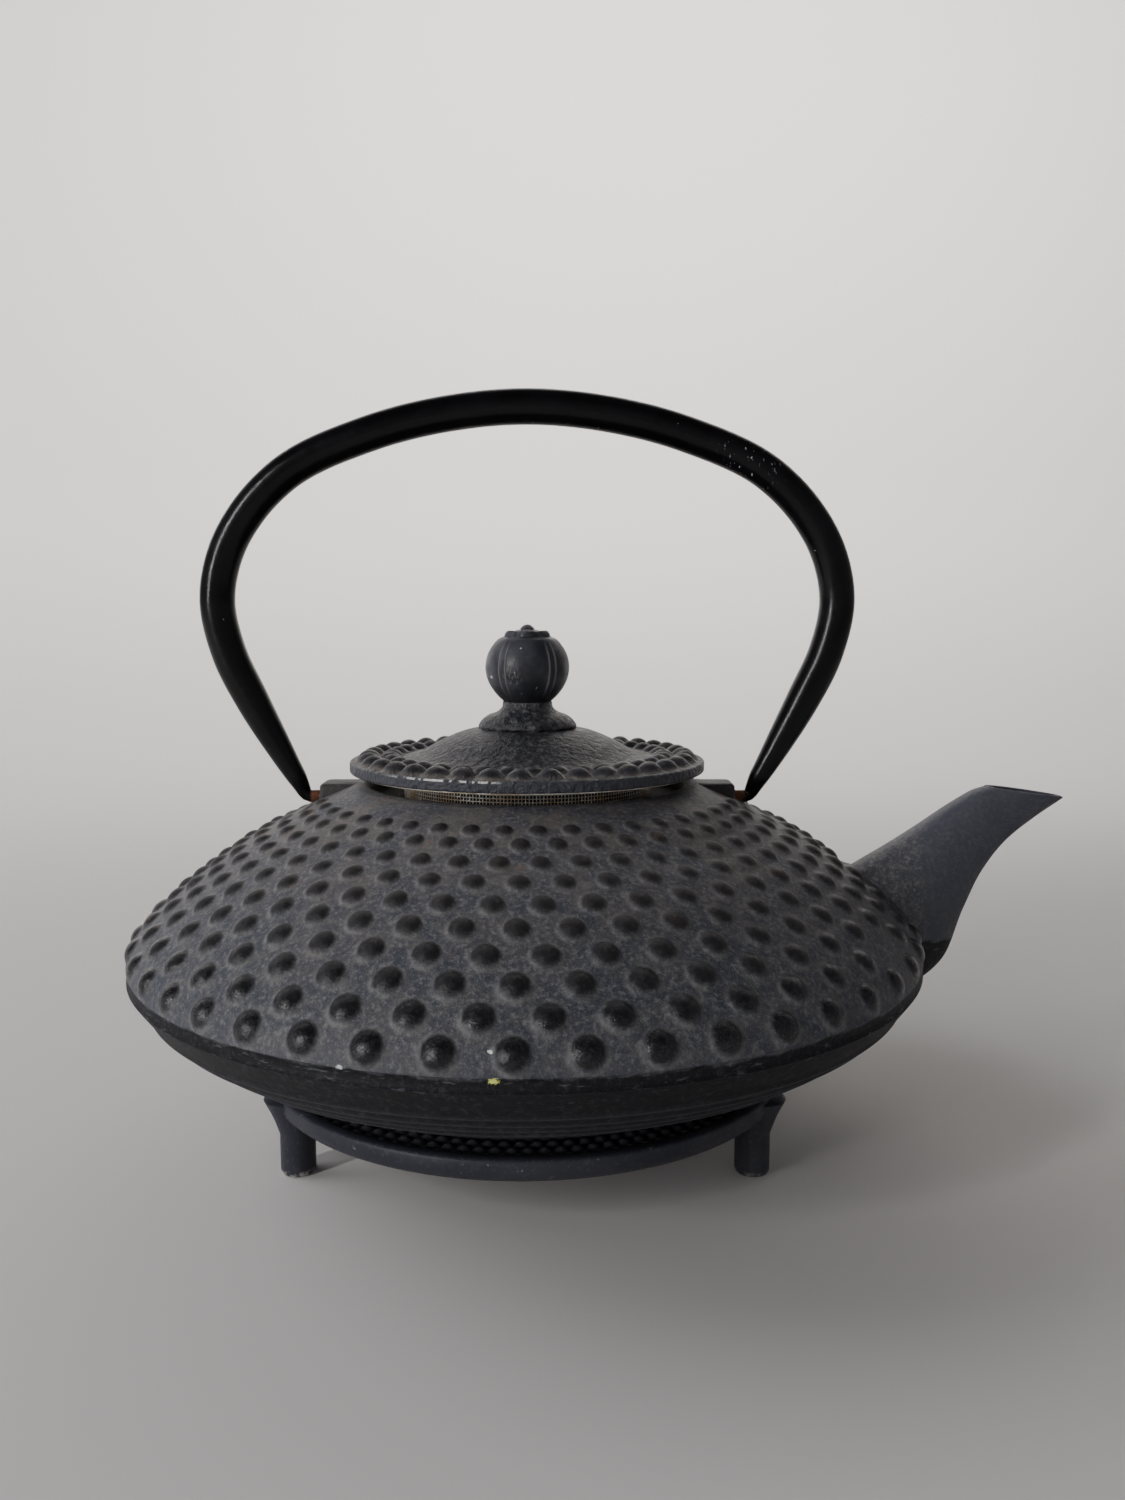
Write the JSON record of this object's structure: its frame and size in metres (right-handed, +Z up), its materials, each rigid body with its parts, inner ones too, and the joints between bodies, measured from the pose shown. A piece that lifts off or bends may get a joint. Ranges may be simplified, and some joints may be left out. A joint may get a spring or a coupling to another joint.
{
  "type": "teapot",
  "caption": "Low hobnailed cast iron teapot with a swinging bail handle, a lift-off lid with a flower knob, a strainer basket and a footed trivet.",
  "frame": {"origin": "on the floor the trivet stands on, on the pot's vertical axis", "axes": "+Z up along the pot's axis, +X towards the spout and along the handle's hinge line, -Y towards the viewer"},
  "size_m": [0.2107, 0.176, 0.1677],
  "materials": {
    "pot_iron": "matte enamelled casting, hobnailed, dusty in the valleys, rust at the mouth",
    "trivet_iron": "matte casting, smoother than the pot",
    "lid_iron": "matte orange-peel casting with worn bumps",
    "knob_iron": "satin casting with rubbed ribs",
    "handle_paint": "satin black paint over steel, bare and rusty at the two ends",
    "strainer_steel": "pressed stainless steel, tea-stained",
    "strainer_mesh": "woven stainless wire cloth",
    "rivet_steel": "plain steel, darkened"
  },
  "bodies": {
    "trivet": {"trivet": "trivet_iron"},
    "pot": {"pot_body": "pot_iron"},
    "handle": {"handle": "handle_paint"},
    "strainer": {"strainer_rim": "strainer_steel", "strainer_wall": "strainer_mesh", "strainer_seam": "strainer_steel", "strainer_base": "strainer_mesh", "strainer_base_ring": "strainer_steel"},
    "lid": {"lid": "lid_iron", "knob": "knob_iron", "knob_rivet": "rivet_steel", "knob_washer": "rivet_steel"}
  },
  "joints": [
    {"name": "pot_lift", "type": "slide", "parent": "trivet", "child": "pot", "axis": [0, 0, 1], "range_m": [0, 0.06]},
    {"name": "handle_swing", "type": "hinge", "parent": "pot", "child": "handle", "pos_m": [0, 0, 0.07656], "axis": [1, 0, 0], "range_deg": [-94, 94]},
    {"name": "strainer_lift", "type": "slide", "parent": "pot", "child": "strainer", "axis": [0, 0, 1], "range_m": [0, 0.04]},
    {"name": "lid_lift", "type": "slide", "parent": "strainer", "child": "lid", "axis": [0, 0, 1], "range_m": [0, 0.04]}
  ]
}
